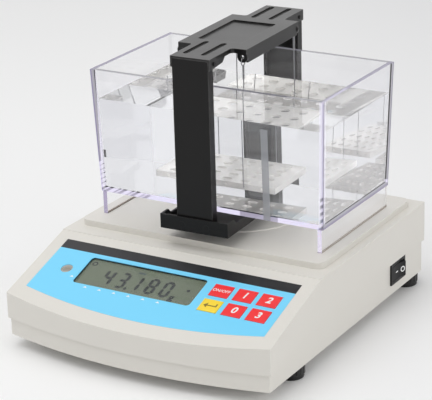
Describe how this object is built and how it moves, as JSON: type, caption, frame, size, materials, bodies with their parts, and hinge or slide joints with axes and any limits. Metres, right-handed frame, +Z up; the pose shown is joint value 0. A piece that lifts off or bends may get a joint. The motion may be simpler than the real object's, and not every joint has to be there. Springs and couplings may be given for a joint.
{
  "type": "benchtop density meter",
  "caption": "Desk-top density meter: weighing base with a sloped keypad and display, a clear water tank on it, and a weighing frame that hangs a perforated basket in the water.",
  "frame": {"origin": "on the bench under the middle of the overall box", "axes": "+Z up, +Y from the control panel to the back, +X to the right of someone facing the panel"},
  "size_m": [0.1926, 0.2275, 0.1843],
  "materials": {
    "housing_shell": "fine matt warm light grey ABS",
    "overlay_print": "satin printed polyester, sky blue under a black band",
    "clear_lens": "clear acrylic lens",
    "black_plastic": "black nylon",
    "black_frame": "satin black coating on aluminium",
    "display_glass": "grey-green liquid crystal glass on its carrier",
    "circuit_board": "green solder mask",
    "red_key": "bright red silicone",
    "yellow_key": "yellow silicone",
    "level_fill": "smoky grey-beige vial",
    "grey_cable": "grey PVC",
    "steel": "turned and zinc plated steel",
    "brass": "machined brass",
    "cell_metal": "milled aluminium",
    "foot_rubber": "black rubber",
    "foot_plastic": "black moulded nylon",
    "strip_film": "grey translucent film",
    "acrylic": "clear acrylic with violet-tinted edges"
  },
  "bodies": {
    "housing": {"upper_shell": "housing_shell", "lower_shell": "housing_shell", "panel_overlay": "overlay_print", "display_window": "clear_lens", "display_bezel": "black_plastic", "display_module": "display_glass", "display_board": "circuit_board", "key_switches": "black_plastic", "level_vial": "level_fill", "main_board": "circuit_board", "ribbon_cable": "grey_cable", "board_screws": "steel", "rocker_frame": "black_plastic", "power_inlet": "black_plastic", "shell_screws": "steel", "foot_inserts": "brass", "load_cell": "cell_metal", "load_cell_block": "cell_metal", "load_cell_screws": "steel", "load_cell_cable": "grey_cable", "overload_stop": "steel"},
    "weighing_frame": {"weighing_spindle": "steel", "spindle_screws": "steel", "cross_beam": "black_frame", "beam_screws": "steel", "front_post": "black_frame", "rear_post": "black_frame", "post_screws": "steel", "bridge": "black_frame", "bridge_screws": "steel"},
    "right_wires": {"front_right_wire": "steel", "rear_right_wire": "steel"},
    "left_wires": {"front_left_wire": "steel", "rear_left_wire": "steel"},
    "basket": {"basket_plate": "acrylic"},
    "water_tank": {"tank": "acrylic", "left_skirt": "acrylic", "right_skirt": "acrylic", "fill_strip": "strip_film"},
    "switch_rocker": {"rocker": "black_plastic"},
    "power_key": {"power_key": "red_key"},
    "first_key": {"first_key": "red_key"},
    "second_key": {"second_key": "red_key"},
    "enter_key": {"enter_key": "yellow_key"},
    "zero_key": {"zero_key": "red_key"},
    "third_key": {"third_key": "red_key"},
    "front_left_foot_pad": {"front_left_pad": "foot_rubber"},
    "front_left_foot_wheel": {"front_left_wheel": "foot_plastic"},
    "front_right_foot_pad": {"front_right_pad": "foot_rubber"},
    "front_right_foot_wheel": {"front_right_wheel": "foot_plastic"},
    "rear_left_foot_pad": {"rear_left_pad": "foot_rubber"},
    "rear_left_foot_wheel": {"rear_left_wheel": "foot_plastic"},
    "rear_right_foot_pad": {"rear_right_pad": "foot_rubber"},
    "rear_right_foot_wheel": {"rear_right_wheel": "foot_plastic"}
  },
  "joints": [
    {"name": "frame_travel", "type": "slide", "parent": "housing", "child": "weighing_frame", "axis": [0, 0, 1], "range_m": [-0.0004, 0], "stiffness_N_per_m": 15000, "springref_m": 0.0002, "deforming": ["load_cell"]},
    {"name": "right_wires_swing", "type": "hinge", "parent": "weighing_frame", "child": "right_wires", "pos_m": [0.02023, 0.03601, 0.17887], "axis": [-0.0401, 0.9992, 0], "range_deg": [-10, 10]},
    {"name": "left_wires_swing", "type": "hinge", "parent": "weighing_frame", "child": "left_wires", "pos_m": [-0.02234, 0.03429, 0.17887], "axis": [-0.0401, 0.9992, 0], "range_deg": [-10, 10]},
    {"name": "basket_swing", "type": "hinge", "parent": "right_wires", "child": "basket", "pos_m": [0.02023, 0.03601, 0.09432], "axis": [-0.0401, 0.9992, 0], "range_deg": [-10, 10]},
    {"name": "tank_lift", "type": "slide", "parent": "housing", "child": "water_tank", "axis": [0, 0, 1], "range_m": [0, 0.01]},
    {"name": "rocker_turn", "type": "hinge", "parent": "housing", "child": "switch_rocker", "pos_m": [0.089, 0.0736, 0.02235], "axis": [0, 0, 1], "range_deg": [0, 17.6]},
    {"name": "power_key_press", "type": "slide", "parent": "housing", "child": "power_key", "axis": [0, 0.2949, -0.9555], "range_m": [0, 0.0004], "stiffness_N_per_m": 2500, "springref_m": -0.0002},
    {"name": "first_key_press", "type": "slide", "parent": "housing", "child": "first_key", "axis": [0, 0.2949, -0.9555], "range_m": [0, 0.0004], "stiffness_N_per_m": 2500, "springref_m": -0.0002},
    {"name": "second_key_press", "type": "slide", "parent": "housing", "child": "second_key", "axis": [0, 0.2949, -0.9555], "range_m": [0, 0.0004], "stiffness_N_per_m": 2500, "springref_m": -0.0002},
    {"name": "enter_key_press", "type": "slide", "parent": "housing", "child": "enter_key", "axis": [0, 0.2949, -0.9555], "range_m": [0, 0.0004], "stiffness_N_per_m": 2500, "springref_m": -0.0002},
    {"name": "zero_key_press", "type": "slide", "parent": "housing", "child": "zero_key", "axis": [0, 0.2949, -0.9555], "range_m": [0, 0.0004], "stiffness_N_per_m": 2500, "springref_m": -0.0002},
    {"name": "third_key_press", "type": "slide", "parent": "housing", "child": "third_key", "axis": [0, 0.2949, -0.9555], "range_m": [0, 0.0004], "stiffness_N_per_m": 2500, "springref_m": -0.0002},
    {"name": "front_left_foot_rise", "type": "slide", "parent": "housing", "child": "front_left_foot_pad", "axis": [0, 0, 1], "range_m": [-0.005, 0]},
    {"name": "front_left_foot_turn", "type": "hinge", "parent": "front_left_foot_pad", "child": "front_left_foot_wheel", "pos_m": [-0.08605, -0.05845, 0.005], "axis": [0, 0, 1], "range_deg": [-1800, 0]},
    {"name": "front_right_foot_rise", "type": "slide", "parent": "housing", "child": "front_right_foot_pad", "axis": [0, 0, 1], "range_m": [-0.005, 0]},
    {"name": "front_right_foot_turn", "type": "hinge", "parent": "front_right_foot_pad", "child": "front_right_foot_wheel", "pos_m": [0.08395, -0.05845, 0.005], "axis": [0, 0, 1], "range_deg": [-1800, 0]},
    {"name": "rear_left_foot_rise", "type": "slide", "parent": "housing", "child": "rear_left_foot_pad", "axis": [0, 0, 1], "range_m": [-0.005, 0]},
    {"name": "rear_left_foot_turn", "type": "hinge", "parent": "rear_left_foot_pad", "child": "rear_left_foot_wheel", "pos_m": [-0.08605, 0.10435, 0.005], "axis": [0, 0, 1], "range_deg": [-1800, 0]},
    {"name": "rear_right_foot_rise", "type": "slide", "parent": "housing", "child": "rear_right_foot_pad", "axis": [0, 0, 1], "range_m": [-0.005, 0]},
    {"name": "rear_right_foot_turn", "type": "hinge", "parent": "rear_right_foot_pad", "child": "rear_right_foot_wheel", "pos_m": [0.08395, 0.10435, 0.005], "axis": [0, 0, 1], "range_deg": [-1800, 0]}
  ],
  "couplings": [
    {"joint": "left_wires_swing", "follows": "right_wires_swing", "ratio": 1},
    {"joint": "basket_swing", "follows": "right_wires_swing", "ratio": -1},
    {"joint": "front_left_foot_rise", "follows": "front_left_foot_turn", "m_per_rad": 0.00015915},
    {"joint": "front_right_foot_rise", "follows": "front_right_foot_turn", "m_per_rad": 0.00015915},
    {"joint": "rear_left_foot_rise", "follows": "rear_left_foot_turn", "m_per_rad": 0.00015915},
    {"joint": "rear_right_foot_rise", "follows": "rear_right_foot_turn", "m_per_rad": 0.00015915}
  ]
}
